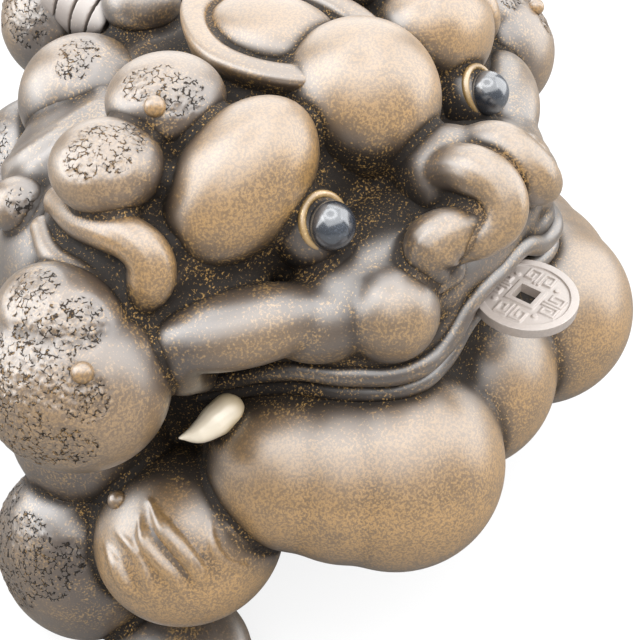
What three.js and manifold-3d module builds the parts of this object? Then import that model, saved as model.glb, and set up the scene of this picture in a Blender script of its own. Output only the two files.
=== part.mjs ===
// Money toad: a three-legged clay toad that holds a loose cash coin in its mouth.
// Millimetres, +Z up. The toad faces -Y, so its right side is -X.
// The body is a hollow shell in two press-moulded halves. Every other piece is a clay lump, roll or
// pellet luted to it. Pieces are made in order, and each is cut clear of those made before it.

import * as THREE from "three";
import { mergeVertices } from "three/addons/utils/BufferGeometryUtils.js";
import Module from "manifold-3d";

const wasm = await Module();
wasm.setup();

// Clearances and walls
const slip = 0.3;
const coinPlay = 0.3;
const wall = 5;
const ventWide = 30;
const ventDeep = 26;

// Hollow body: wide runs across the toad, deep from front to back, tall upward
const torso = { wide: 80, deep: 76, tall: 96 };
const baseSink = 12;
const chest = { wide: 84, deep: 56, tall: 68 };
const headWide = 104;
const jowl = { wide: headWide, deep: 38, tall: 34 };
const skull = { wide: headWide, deep: 42, tall: 34 };
const nape = { wide: 52, deep: 38, tall: 24 };
const blade = { wide: 37, deep: 30, tall: 28 };

// Face
const forehead = { wide: 24.8, deep: 24.8, tall: 24.8 };
const brow = { wide: 30, deep: 20, tall: 22.5 };
const browTurn = [33, -34, -12];
const socket = { wide: 13.2, deep: 13.2, tall: 13.2 };
const eyeDiameter = 7.7;
const ringDiameter = 8.5;
const ringWire = 1.4;
const ringBack = 1.2;
const muzzle = { wide: 66, deep: 30, tall: 23 };
const jawSide = { wide: 30, deep: 13.5, tall: 12 };
const jawTurn = 35;
const jawFill = { wide: 18, deep: 13, tall: 13 };
const fillTurn = 45;
const whiskerPad = { wide: 15.4, deep: 15.4, tall: 15.8 };
const bridge = { wide: 17, deep: 22, tall: 17 };
const wingRoll = 7.8;
const nostrilTop = { wide: 8.6, deep: 8.6, tall: 8.6 };
const nostrilLow = { wide: 9.6, deep: 9.6, tall: 11 };
const upperLip = 4;
const lowerLip = 3.4;
const fangLength = 12.9;
const fangRoot = 5.4;
const fangBend = 4.8;
const cheek = { wide: 28, deep: 31, tall: 28 };
const temple = { wide: 18, deep: 22, tall: 17 };
const earRoll = 7;
const earFold = 6.4;
const sideWart = { wide: 17, deep: 17, tall: 13 };
const crownWart = { wide: 19, deep: 18, tall: 13 };
const backWart = { wide: 10, deep: 10, tall: 9 };
const pelletDiameter = 3.6;

// Throat and coin
const throatLobe = { wide: 37.6, deep: 37.6, tall: 36 };
const throatSide = { wide: 33, deep: 33, tall: 30 };
const throatFill = { wide: 36, deep: 36, tall: 33 };
const throatMiddle = { wide: 34, deep: 30, tall: 32 };
const chin = { wide: 56, deep: 20, tall: 14 };
const coinDiameter = 17.2;
const coinThick = 1.8;
const coinHole = 3.6;
const coinGrip = 3;

// Back
const boat = { wide: 33, deep: 42, tall: 19 };
const boatRim = 3.2;
const bowlDepth = 4;
const boatDome = { wide: 15, deep: 20, tall: 11 };
const backBall = { wide: 14, deep: 14, tall: 12 };
const haunchTop = { wide: 24, deep: 22, tall: 22 };
const haunchLow = { wide: 30, deep: 28, tall: 30 };
const rump = { wide: 23.5, deep: 24, tall: 24 };
const cashDiameter = 15;
const cashThick = 3.5;
const cashHole = 3;
const cashCount = 4;
const cashSlope = 14;

// Legs
const shoulder = { wide: 34, deep: 40, tall: 44 };
const upperArm = { wide: 28, deep: 30, tall: 34 };
const forearm = { wide: 28, deep: 32, tall: 38 };
const tuft = { wide: 34, deep: 32, tall: 31 };
const forefoot = { wide: 24, deep: 28, tall: 14 };
const toe = { wide: 9, deep: 16, tall: 9 };
const toeSpread = 24;
const toeReach = 0.8;
const thigh = { wide: 36, deep: 26, tall: 44 };
const hindFoot = { wide: 24, deep: 24, tall: 14 };
const soleSink = 2;

// Fineness of the shapes, where facets count per square root of a lump's largest half size
const facets = 0.45;
const insideFacets = 0.3;
const rollSides = 6;
const rollSteps = 1.5;
const wheelSides = 20;
const wireSides = 4;
const ringSides = 14;
const farOff = 1000;

// Clays and finishes
const clay = (colour, roughness = 0.5) => ({ color: colour, roughness, metalness: 0 });
const bodyClay = clay(0x4a3a30);
const tanClay = clay(0x7a6248);
const darkClay = clay(0x352b2a);
const coinClay = clay(0x5b4a40, 0.75);
const boneClay = clay(0xcbbfa6, 0.6);
const eyeGlaze = clay(0x14181f, 0.25);
const goldLine = { color: 0xb08a45, roughness: 0.4, metalness: 0.6 };

// Geometry helpers
function solid(geometry) {
  geometry.deleteAttribute("normal");
  geometry.deleteAttribute("uv");
  const merged = mergeVertices(geometry);
  return new wasm.Manifold(new wasm.Mesh({
    numProp: 3,
    vertProperties: new Float32Array(merged.attributes.position.array),
    triVerts: new Uint32Array(merged.index.array),
  }));
}

// A clay lump: an ellipsoid with a centre and a turn in degrees
function lump(size, centre, turn = [0, 0, 0]) {
  const half = new THREE.Vector3(size.wide, size.deep, size.tall).multiplyScalar(0.5);
  return { half, centre, turn: turn.map((degrees) => THREE.MathUtils.degToRad(degrees)) };
}

// A place in or on a lump, as shares of its half sizes from its centre
function on(carrier, across, along, up) {
  return new THREE.Vector3(across, along, up).multiply(carrier.half).add(carrier.centre);
}

// The same lump or place on the toad's other side
function otherSide(shape) {
  if (shape.isVector3) return new THREE.Vector3(-shape.x, shape.y, shape.z);
  const [tip, roll, yaw] = shape.turn;
  return { half: shape.half, centre: otherSide(shape.centre), turn: [tip, -roll, -yaw] };
}

function ellipsoid(shape, grow = 0, fineness = facets) {
  const { half, centre, turn } = shape;
  const detail = Math.round(fineness * Math.sqrt(Math.max(half.x, half.y, half.z)));
  const geometry = new THREE.IcosahedronGeometry(1, detail);
  geometry.scale(half.x + grow, half.y + grow, half.z + grow);
  geometry.applyQuaternion(new THREE.Quaternion().setFromEuler(new THREE.Euler(...turn, "ZYX")));
  geometry.translate(centre.x, centre.y, centre.z);
  return solid(geometry);
}

function join(bodies) {
  return bodies.reduce((whole, body) => whole.add(body));
}

function ball(centre, diameter) {
  return lump({ wide: diameter, deep: diameter, tall: diameter }, centre);
}

// A clay roll along a smooth curve, with round ends
function roll(points, diameter, grow = 0) {
  const section = new THREE.Shape();
  const radius = diameter / 2 + grow;
  for (let side = 0; side < rollSides; side += 1) {
    const angle = (side / rollSides) * 2 * Math.PI;
    const corner = [radius * Math.cos(angle), radius * Math.sin(angle)];
    if (side === 0) section.moveTo(...corner);
    else section.lineTo(...corner);
  }
  const extrudePath = new THREE.CatmullRomCurve3(points);
  const steps = Math.round(rollSteps * (points.length - 1));
  const tube = solid(new THREE.ExtrudeGeometry(section, { steps, extrudePath, bevelEnabled: false }));
  const ends = [points[0], points[points.length - 1]].map((end) => ellipsoid(ball(end, diameter), grow));
  return join([tube, ...ends]);
}

// A flat disc with its axis upright, with a square hole if it has one
function disc(diameter, thick, hole, grow = 0) {
  const radius = diameter / 2 + grow;
  const round = new THREE.CylinderGeometry(radius, radius, thick + 2 * grow, wheelSides);
  const whole = solid(round.rotateX(Math.PI / 2));
  if (hole === 0) return whole;
  return whole.subtract(solid(new THREE.BoxGeometry(hole, hole, 2 * thick)));
}

// Everything under a height, or over it, as far as the toad could reach
function spaceBelow(height) {
  return solid(new THREE.BoxGeometry(farOff, farOff, farOff).translate(0, 0, height - farOff / 2));
}

function spaceAbove(height) {
  return solid(new THREE.BoxGeometry(farOff, farOff, farOff).translate(0, 0, height + farOff / 2));
}

// Making the pieces
const toad = new THREE.Group();
const taken = [spaceBelow(0)];

function addMesh(name, finish, body) {
  const { vertProperties, triVerts } = body.getMesh();
  const geometry = new THREE.BufferGeometry();
  geometry.setAttribute("position", new THREE.BufferAttribute(vertProperties, 3));
  geometry.setIndex(new THREE.BufferAttribute(triVerts, 1));
  const mesh = new THREE.Mesh(geometry, new THREE.MeshStandardMaterial(finish));
  mesh.name = name;
  toad.add(mesh);
}

function clearOf(body, others) {
  const cut = others.reduce((left, other) => left.subtract(other), body);
  return cut.decompose().sort((a, b) => b.volume() - a.volume())[0];
}

// Adds the piece that form(0) gives, cut clear of the earlier pieces, and keeps its place
function addPiece(name, finish, form, clearance = slip) {
  addMesh(name, finish, clearOf(form(0), taken));
  taken.push(form(clearance));
}

function addLumps(name, finish, lumps) {
  addPiece(name, finish, (grow) => join(lumps.map((shape) => ellipsoid(shape, grow))));
}

const sides = [["right", (shape) => shape], ["left", otherSide]];

// Adds a lump or several on the right side, and their mirror images on the left
function addPair(name, finish, lumps) {
  addLumps(`${name}_right`, finish, lumps);
  addLumps(`${name}_left`, finish, lumps.map(otherSide));
}

// Core of the body, from the ground up
const torsoCore = lump(torso, new THREE.Vector3(0, 0, torso.tall / 2 - baseSink));
const chestCore = lump(chest, on(torsoCore, 0, -0.79, 0.23));
const jowlCore = lump(jowl, on(chestCore, 0, 0, 0.47));
const skullCore = lump(skull, on(jowlCore, 0, 0.1, 0.88));
const napeCore = lump(nape, on(torsoCore, 0, 0.08, 0.875));
const bladeRight = lump(blade, on(torsoCore, -0.625, -0.13, 0.8));
const core = [torsoCore, chestCore, jowlCore, skullCore, napeCore, bladeRight, otherSide(bladeRight)];

// Muzzle, and the line where the lips meet, from the right corner to the coin
const muzzleCore = lump(muzzle, on(jowlCore, 0, -1.32, 0.5));
const mouthMiddle = on(muzzleCore, 0, -0.96, -0.43);
const mouthRight = [
  on(jowlCore, -0.79, -0.51, -0.39),
  on(jowlCore, -0.63, -1.15, -0.15),
  on(muzzleCore, -0.86, -0.37, -0.91),
  on(muzzleCore, -0.68, -0.86, -0.83),
  on(muzzleCore, -0.47, -0.95, -0.77),
  on(muzzleCore, -0.23, -0.96, -0.43),
];
const mouthLine = [...mouthRight, mouthMiddle, ...mouthRight.map(otherSide).reverse()];

// Loose coin, held between the lips by its back edge
const coinCentre = mouthMiddle.clone();
coinCentre.y -= coinDiameter / 2 - coinGrip;

function coinForm(grow) {
  const hole = grow === 0 ? coinHole : 0;
  return disc(coinDiameter, coinThick, hole, grow).translate(coinCentre.toArray());
}

addPiece("mouth_coin", coinClay, coinForm, coinPlay);

// Eyes: a black bead in a gold ring, set in a socket under the brow
const browRight = lump(brow, on(skullCore, -0.51, -0.46, 0.64), browTurn);
const socketRight = lump(socket, on(skullCore, -0.42, -0.91, 0.24));
const eyeRight = ball(on(socketRight, -0.09, -0.74, 0.45), eyeDiameter);

// The ring lies on the socket behind the bead, square to the line from the socket to the bead
function ringForm(turn, grow) {
  const eye = turn(eyeRight.centre).clone();
  const aim = eye.clone().sub(turn(socketRight.centre)).normalize();
  const ring = new THREE.TorusGeometry(ringDiameter / 2, ringWire / 2 + grow, wireSides, ringSides);
  ring.applyQuaternion(new THREE.Quaternion().setFromUnitVectors(new THREE.Vector3(0, 0, 1), aim));
  const place = eye.addScaledVector(aim, -ringBack);
  return solid(ring.translate(place.x, place.y, place.z));
}

addPair("eye_bead", eyeGlaze, [eyeRight]);
for (const [side, turn] of sides) {
  addPiece(`eye_ring_${side}`, goldLine, (grow) => ringForm(turn, grow));
}

// Lips: two rolls that meet on the mouth line
function lipForm(diameter, direction, grow) {
  const lift = new THREE.Vector3(0, 0, direction * (diameter / 2 + slip));
  const points = mouthLine.map((point) => point.clone().add(lift));
  return roll(points, diameter, grow);
}

addPiece("upper_lip", darkClay, (grow) => lipForm(upperLip, 1, grow));
addPiece("lower_lip", darkClay, (grow) => lipForm(lowerLip, -1, grow));

// Fangs: tapered tusks that leave the lips near their corners and bend back
const fangAim = new THREE.Vector3(-0.83, 0.11, -0.54).normalize();
const fangLift = new THREE.Vector3(0.12, 0.41, 0.9).multiplyScalar(fangBend);
const fangPlace = mouthRight[0].clone().lerp(mouthRight[1], 0.4);
fangPlace.z -= lowerLip / 2;

function fangForm(turn, grow) {
  const profile = [[0, 0], [0.5, 0], [0.46, 0.35], [0.3, 0.75], [0, 1]].map(([width, height]) => (
    new THREE.Vector2(width * (fangRoot + 2 * grow), height * (fangLength + grow))
  ));
  const tusk = new THREE.LatheGeometry(profile, rollSides);
  const upright = new THREE.Vector3(0, 1, 0);
  tusk.applyQuaternion(new THREE.Quaternion().setFromUnitVectors(upright, turn(fangAim)));
  const position = tusk.attributes.position;
  for (let corner = 0; corner < position.count; corner += 1) {
    const point = new THREE.Vector3().fromBufferAttribute(position, corner);
    const share = point.dot(turn(fangAim)) / fangLength;
    point.addScaledVector(turn(fangLift), share * share).add(turn(fangPlace));
    position.setXYZ(corner, point.x, point.y, point.z);
  }
  return solid(tusk);
}

for (const [side, turn] of sides) {
  addPiece(`fang_${side}`, boneClay, (grow) => fangForm(turn, grow));
}

// Two halves of the hollow body, open to each other at the seam and to the ground through a vent
const seamHeight = torsoCore.centre.z;
const vent = solid(new THREE.CylinderGeometry(ventWide / 2, ventWide / 2, 4 * wall, wheelSides)
  .rotateX(Math.PI / 2)
  .scale(1, ventDeep / ventWide, 1));
const outside = join(core.map((shape) => ellipsoid(shape)));
const hollow = join(core.map((shape) => ellipsoid(shape, -wall, insideFacets)));
const inside = hollow.subtract(spaceBelow(wall)).add(vent);
const shell = clearOf(outside.subtract(inside), taken);

addMesh("belly_shell", bodyClay, clearOf(shell, [spaceAbove(seamHeight - slip / 2)]));
addMesh("back_shell", bodyClay, clearOf(shell, [spaceBelow(seamHeight + slip / 2)]));
taken.push(join(core.map((shape) => ellipsoid(shape, slip))));

// Forehead, brows and sockets
addLumps("forehead_ball", tanClay, [lump(forehead, on(skullCore, 0, -0.67, 0.86))]);
addPair("brow", tanClay, [browRight]);
addPair("eye_socket", darkClay, [socketRight]);

// Upper jaw: a bar behind the lips, with a pad on each side of the nose
const jawRight = lump(jawSide, on(jowlCore, -0.74, -0.91, 0.61), [0, 0, -jawTurn]);
const fillRight = lump(jawFill, on(muzzleCore, -0.86, 0.04, -0.05), [0, 0, -fillTurn]);
const padRight = lump(whiskerPad, on(muzzleCore, -0.65, -0.52, 0.08));
const jawLumps = [jawRight, fillRight, padRight];
addLumps("upper_jaw", bodyClay, [muzzleCore, ...jawLumps, ...jawLumps.map(otherSide)]);

// Nose: a bridge with two wings that curl down round the nostril bulbs
const noseBridge = lump(bridge, on(muzzleCore, 0, -0.29, 1.04));
const wingPoints = [
  on(noseBridge, -0.38, 0.5, -0.02),
  on(noseBridge, -0.4, -0.05, 0.41),
  on(noseBridge, -0.46, -0.52, 0.72),
  on(noseBridge, -0.47, -0.95, 0.53),
  on(noseBridge, -0.66, -1.1, 0.2),
  on(noseBridge, -0.98, -1.02, -0.1),
];
addPiece("nose", bodyClay, (grow) => join([
  ellipsoid(noseBridge, grow),
  ...sides.map(([, turn]) => roll(wingPoints.map(turn), wingRoll, grow)),
]));
addPair("nostril_bulb", tanClay, [
  lump(nostrilTop, on(noseBridge, -1.29, -0.64, -0.02)),
  lump(nostrilLow, on(noseBridge, -1.59, -0.49, -0.42)),
]);

// Throat sac: a chin under the lips, over lobes in the middle and at the sides
const lobeRight = lump(throatLobe, on(chestCore, -0.56, -1.3, -0.16));
const throatRight = lump(throatSide, on(chestCore, -0.79, -0.86, -0.12));
const throatBetween = lump(throatFill, on(chestCore, -0.68, -1.09, -0.14));
const throatLumps = [lobeRight, throatRight, throatBetween];
addLumps("throat_sac", tanClay, [
  lump(chin, on(chestCore, 0, -1.07, 0.27)),
  lump(throatMiddle, on(chestCore, 0, -1.32, -0.15)),
  ...throatLumps,
  ...throatLumps.map(otherSide),
]);

// Cheeks, ears and warts
const cheekRight = lump(cheek, on(jowlCore, -1.12, -0.03, 0.32));
addPair("cheek", bodyClay, [
  cheekRight,
  lump(temple, on(jowlCore, -1.08, 0.1, 0.82)),
]);

const earPoints = [
  on(skullCore, -0.81, 0.62, 0.41),
  on(skullCore, -0.91, 0, 0.62),
  on(skullCore, -0.9, -0.3, 0.53),
  on(skullCore, -0.89, -0.47, 0.32),
  on(skullCore, -0.91, -0.42, 0.06),
];
const foldPoints = [
  on(skullCore, -0.86, 0.58, 0.33),
  on(skullCore, -0.96, 0.15, 0.38),
  on(skullCore, -0.96, -0.23, 0.25),
  on(skullCore, -0.95, -0.47, -0.04),
];
for (const [side, turn] of sides) {
  addPiece(`ear_${side}`, tanClay, (grow) => join([
    roll(earPoints.map(turn), earRoll, grow),
    roll(foldPoints.map(turn), earFold, grow),
  ]));
}

const sideWartRight = lump(sideWart, on(skullCore, -0.78, 0.17, 0.96));
const crownWartRight = lump(crownWart, on(skullCore, -0.49, 0.24, 1.14));
addPair("side_wart", bodyClay, [sideWartRight]);
addPair("crown_wart", bodyClay, [crownWartRight]);

// Crown: an ingot boat, which is a dish cut off flat at its rim, with a dome in it
const boatTray = lump(boat, on(skullCore, 0, 0.15, 1.25));
const bowl = lump(
  { wide: boat.wide - 2 * boatRim, deep: boat.deep - 2 * boatRim, tall: 2 * bowlDepth },
  boatTray.centre,
);

function boatForm(grow) {
  const dish = ellipsoid(boatTray, grow).subtract(spaceAbove(boatTray.centre.z + grow));
  return grow === 0 ? dish.subtract(ellipsoid(bowl)) : dish;
}

addLumps("ingot_dome", tanClay, [lump(boatDome, on(boatTray, 0, 0.1, -0.17))]);
addPiece("ingot_boat", tanClay, boatForm);

// Forelegs: shoulder, upper arm and forearm, each standing on a foot with three toes
const shoulderRight = lump(shoulder, on(chestCore, -0.88, 0.5, 0.47));
const forearmPlace = on(chestCore, -1.38, 0.29, 0);
forearmPlace.z = forearm.tall / 2 - soleSink;
const forearmRight = lump(forearm, forearmPlace);
const armPlace = shoulderRight.centre.clone().lerp(forearmRight.centre, 0.5);
addPair("foreleg", bodyClay, [shoulderRight, lump(upperArm, armPlace), forearmRight]);

function footLumps(size, centre, facing) {
  const sole = lump(size, centre);
  const toes = [-1, 0, 1].map((place) => {
    const angle = THREE.MathUtils.degToRad(place * toeSpread);
    const reach = on(sole, toeReach * Math.sin(angle), toeReach * facing * Math.cos(angle), 0);
    reach.z = toe.tall / 2 - soleSink / 2;
    return lump(toe, reach, [0, 0, -facing * place * toeSpread]);
  });
  return [sole, ...toes];
}

const footPlace = on(forearmRight, 0.09, -1.38, 0);
footPlace.z = forefoot.tall / 2 - soleSink;
const tuftRight = lump(tuft, on(chestCore, -1.17, -0.43, -0.53));
addPair("flame_tuft", tanClay, [tuftRight]);
addPair("forefoot", darkClay, footLumps(forefoot, footPlace, -1));

// Back: haunches, rump, a ball and a string of cash between them
addPair("haunch", bodyClay, [
  lump(haunchTop, on(torsoCore, -0.43, 0.15, 0.96)),
  lump(haunchLow, on(torsoCore, -0.53, 0.37, 0.58)),
]);
addLumps("back_ball", darkClay, [lump(backBall, on(torsoCore, 0, 0.17, 1.18))]);
addPair("back_wart", bodyClay, [lump(backWart, on(shoulderRight, -0.37, 0.5, 0.78))]);

// String of cash on edge along the spine, from the back ball up on to the rump
const cashStart = on(torsoCore, 0, 0.33, 1.05);
const cashTilt = THREE.MathUtils.degToRad(cashSlope);
const cashAim = new THREE.Vector3(0, Math.cos(cashTilt), Math.sin(cashTilt));
const cashStep = cashThick + slip;

function cashForm(along, grow) {
  const place = cashStart.clone().addScaledVector(cashAim, along);
  const hole = grow === 0 ? cashHole : 0;
  return disc(cashDiameter, cashThick, hole, grow)
    .rotate([90 + cashSlope, 0, 0])
    .translate(place.toArray());
}

for (let cash = 0; cash < cashCount; cash += 1) {
  addPiece(`spine_cash_${cash + 1}`, coinClay, (grow) => cashForm(cash * cashStep, grow));
}

addLumps("rump", bodyClay, [lump(rump, on(torsoCore, 0, 0.75, 0.94))]);

// Single hind leg at the back
const thighCore = lump(thigh, on(torsoCore, 0, 0.9, -0.35));
const hindPlace = on(thighCore, 0, 0.7, 0);
hindPlace.z = hindFoot.tall / 2 - soleSink;
addLumps("hind_leg", bodyClay, [thighCore]);
addLumps("hind_foot", darkClay, footLumps(hindFoot, hindPlace, 1));

// Pellets pressed on the warts, cheeks, shoulders and tufts
addPair("wart_pellet", tanClay, [ball(on(crownWartRight, -0.72, -0.54, 0.48), pelletDiameter)]);
addPair("cheek_pellet", tanClay, [ball(on(cheekRight, -0.34, -0.57, 0.76), pelletDiameter)]);
addPair("shoulder_pellet", tanClay, [ball(on(shoulderRight, -0.47, 0.58, 0.66), pelletDiameter)]);
addPair("tuft_pellet", tanClay, [ball(on(tuftRight, -0.46, 0.5, 0.72), pelletDiameter)]);

// The whole toad stands with its box centred over the origin
const box = new THREE.Box3().setFromObject(toad);
toad.position.y = -(box.min.y + box.max.y) / 2;

export default toad;
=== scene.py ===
# Money toad of dark flecked clay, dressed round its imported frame.
# Clay is measured in millimetres, which mm turns into metres. Floor and lamps are in metres.
# The toad faces -Y.
import math
import bpy
import numpy as np
from mathutils import Euler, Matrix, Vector
from mathutils.bvhtree import BVHTree


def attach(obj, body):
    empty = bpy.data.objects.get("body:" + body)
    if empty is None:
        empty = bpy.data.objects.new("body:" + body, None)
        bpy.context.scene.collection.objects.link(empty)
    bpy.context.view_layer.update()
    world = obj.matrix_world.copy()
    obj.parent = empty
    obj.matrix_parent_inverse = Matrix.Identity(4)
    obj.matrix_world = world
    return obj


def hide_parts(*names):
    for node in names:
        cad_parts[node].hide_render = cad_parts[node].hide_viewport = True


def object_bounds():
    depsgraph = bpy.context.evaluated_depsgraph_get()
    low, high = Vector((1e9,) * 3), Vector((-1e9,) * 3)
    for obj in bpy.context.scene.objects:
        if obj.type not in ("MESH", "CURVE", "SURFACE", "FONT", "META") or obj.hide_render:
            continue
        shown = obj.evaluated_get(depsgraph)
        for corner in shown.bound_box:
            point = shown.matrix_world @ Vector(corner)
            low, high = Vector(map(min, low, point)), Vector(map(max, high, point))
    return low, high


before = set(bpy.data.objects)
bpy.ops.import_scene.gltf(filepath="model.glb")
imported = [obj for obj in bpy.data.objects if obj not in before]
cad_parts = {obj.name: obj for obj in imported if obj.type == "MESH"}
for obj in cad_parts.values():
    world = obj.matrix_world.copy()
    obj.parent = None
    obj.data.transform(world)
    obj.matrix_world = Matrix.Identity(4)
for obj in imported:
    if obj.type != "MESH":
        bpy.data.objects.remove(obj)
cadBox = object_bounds()
print("frame loaded,", len(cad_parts), "nodes")

mm = 0.001
bpy.ops.object.select_all(action="DESELECT")

# Camera first, because some folds are placed by where the photograph shows them
photoView = {
    "place": (-135.06, -122.96, 199.06),
    "azimuth": -53.0,
    "elevation": 43.7,
    "lens": 67.5,
    "sensor": 36,
    "near": 10,
    "pixels": 640,
}


def makeCamera(view):
    place = [value * mm for value in view["place"]]
    turn = (math.radians(90 - view["elevation"]), 0, math.radians(view["azimuth"]))
    bpy.ops.object.camera_add(location=place, rotation=turn)
    eye = bpy.context.object
    eye.name = "photoCamera"
    eye.data.lens = view["lens"]
    eye.data.sensor_width = view["sensor"]
    eye.data.clip_start = view["near"] * mm
    bpy.context.scene.camera = eye
    bpy.context.view_layer.update()
    return eye


camera = makeCamera(photoView)


def pixelRay(px, py):
    half = photoView["pixels"] / 2
    focal = photoView["lens"] / photoView["sensor"] * photoView["pixels"]
    ray = Vector(((px - half) / focal, (half - py) / focal, -1))
    return (camera.matrix_world.to_3x3() @ ray).normalized()


# Points in mm where a line of pixels meets whichever of some pieces is in front
def seenOn(choices, pixels):
    points = []
    for px, py in pixels:
        ray = pixelRay(px, py)
        found = [choice.ray_cast(camera.location, ray) for choice in choices]
        places = [place for hit, place, *rest in found if hit]
        if places:
            nearest = min(places, key=lambda place: (place - camera.location).length)
            points.append(tuple(value / mm for value in nearest))
    return points


# Clay helpers
def applyModifier(piece, kind, **settings):
    modifier = piece.modifiers.new(kind.lower(), kind)
    for key, value in settings.items():
        setattr(modifier, key, value)
    bpy.context.view_layer.objects.active = piece
    bpy.ops.object.modifier_apply(modifier=modifier.name)


def pick(*objects):
    bpy.ops.object.select_all(action="DESELECT")
    for thing in objects:
        thing.select_set(True)
    bpy.context.view_layer.objects.active = objects[-1]


# How finely lumps and rolls are shaped, and how far each smoothing goes
lumpRings = {"large": 56, "small": 24, "largeAbove": 20}
rollSteps = {"round": 6, "along": 10}
smoothing = 0.5


def addLump(place, size, turn=(0, 0, 0)):
    rings = lumpRings["large"] if max(size) > lumpRings["largeAbove"] else lumpRings["small"]
    bpy.ops.mesh.primitive_uv_sphere_add(
        segments=2 * rings,
        ring_count=rings,
        radius=0.5,
        location=[value * mm for value in place],
        rotation=[math.radians(value) for value in turn],
    )
    lump = bpy.context.object
    lump.scale = [value * mm for value in size]
    return lump


# A hand-rolled length of clay: each point has its own radius
def addRoll(points, radii):
    path = bpy.data.curves.new("roll", "CURVE")
    path.dimensions = "3D"
    path.bevel_depth = mm
    path.bevel_resolution = rollSteps["round"]
    path.resolution_u = rollSteps["along"]
    path.use_fill_caps = True
    spline = path.splines.new("BEZIER")
    spline.bezier_points.add(len(points) - 1)
    for knot, point, radius in zip(spline.bezier_points, points, radii):
        knot.co = [value * mm for value in point]
        knot.radius = radius
        knot.handle_left_type = "AUTO"
        knot.handle_right_type = "AUTO"
    roll = bpy.data.objects.new("roll", path)
    bpy.context.scene.collection.objects.link(roll)
    pick(roll)
    bpy.ops.object.convert(target="MESH")
    ends = [addLump(points[end], [2 * radii[end]] * 3) for end in (0, -1)]
    return [bpy.context.scene.objects[roll.name], *ends]


def otherSide(point):
    return (-point[0], point[1], point[2])


def twinLumps(lumps):
    twins = []
    for place, size, *turn in lumps:
        twins.append((place, size, *turn))
        if place[0] != 0:
            twins.append((otherSide(place), size, *[(x, -y, -z) for x, y, z in turn]))
    return twins


def joinParts(parts, name):
    pick(*parts)
    if len(parts) > 1:
        bpy.ops.object.join()
    piece = bpy.context.object
    piece.name = name
    piece.data.name = name
    bpy.ops.object.transform_apply(location=True, rotation=True, scale=True)
    return piece


# Fuses what lies together into one skin and smooths where it meets
def fuseClay(piece, grain, soften):
    applyModifier(piece, "REMESH", mode="VOXEL", voxel_size=grain * mm, use_smooth_shade=True)
    applyModifier(piece, "SMOOTH", factor=smoothing, iterations=soften)


# Cuts a piece off flat at a height and keeps what is above it, or below
def cutFlat(piece, height, above=True):
    pick(piece)
    bpy.ops.object.mode_set(mode="EDIT")
    bpy.ops.mesh.select_all(action="SELECT")
    bpy.ops.mesh.bisect(
        plane_co=(0, 0, height * mm),
        plane_no=(0, 0, 1),
        clear_inner=above,
        clear_outer=not above,
        use_fill=True,
    )
    bpy.ops.object.mode_set(mode="OBJECT")


def readVectors(items, key):
    flat = np.empty(len(items) * 3, np.float32)
    items.foreach_get(key, flat)
    return flat.reshape(-1, 3).astype(float)


def pointsOf(piece):
    return readVectors(piece.data.vertices, "co") / mm


def setLayer(piece, name, values):
    layer = piece.data.attributes.new(name, "FLOAT", "POINT")
    layer.data.foreach_set("value", values.astype(np.float32))


# Rough tools for the pitted skin: cracks between scales, and crumbs over them
pitted = {
    "depth": 0.25,
    "edge": 2.5,
    "leastWeight": 0.002,
    "cracks": {"size": 1.3, "strength": 2.2, "share": 1.0, "level": 0.9},
    "crumbs": {"size": 1.2, "contrast": 2.0, "share": 0.5, "level": 0.6},
}
crackle = bpy.data.textures.new("crackle", "VORONOI")
crackle.noise_scale = pitted["cracks"]["size"] * mm
crackle.noise_intensity = pitted["cracks"]["strength"]
crackle.weight_1 = -1
crackle.weight_2 = 1
crumble = bpy.data.textures.new("crumble", "CLOUDS")
crumble.noise_type = "HARD_NOISE"
crumble.noise_scale = pitted["crumbs"]["size"] * mm
crumble.noise_depth = 1
crumble.contrast = pitted["crumbs"]["contrast"]


def ease(share):
    share = np.clip(share, 0, 1)
    return share * share * (3 - 2 * share)


# Scratches a rough, pitted patch round each place or pixel, which fades out at its radius
def roughen(piece, patches):
    points = pointsOf(piece)
    weights = np.zeros(len(points))
    for place, radius in patches:
        if len(place) == 2:
            places = seenOn([piece], [place])
            if not places:
                print("no clay of", piece.name, "at pixel", place)
                continue
            place = places[0]
        away = np.linalg.norm(points - np.array(place), axis=1)
        weights = np.maximum(weights, ease((1 - away / radius) * pitted["edge"]))
    setLayer(piece, "rough", weights)
    group = piece.vertex_groups.new(name="roughened")
    for index in np.flatnonzero(weights > pitted["leastWeight"]):
        group.add([int(index)], float(weights[index]), "REPLACE")
    for texture, tool in ((crackle, pitted["cracks"]), (crumble, pitted["crumbs"])):
        applyModifier(
            piece,
            "DISPLACE",
            texture=texture,
            texture_coords="LOCAL",
            strength=pitted["depth"] * tool["share"] * mm,
            mid_level=tool["level"],
            vertex_group="roughened",
        )
    piece.vertex_groups.remove(piece.vertex_groups["roughened"])


# Presses lumps and rolls of clay into one piece, which may get rough patches or a flat foot
def pressClay(name, shape):
    lumps = shape.get("lumps", [])
    rolls = shape.get("rolls", [])
    if shape.get("bothSides"):
        lumps = twinLumps(lumps)
        rolls = rolls + [([otherSide(point) for point in points], radii) for points, radii in rolls]
    lumps = lumps + shape.get("single", [])
    parts = [addLump(*lump) for lump in lumps]
    for points, radii in rolls:
        parts += addRoll(points, radii)
    piece = joinParts(parts, name)
    fuseClay(piece, shape["grain"], shape["soften"])
    if "rough" in shape:
        roughen(piece, shape["rough"])
    if shape.get("onGround"):
        cutFlat(piece, 0)
    return piece


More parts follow.
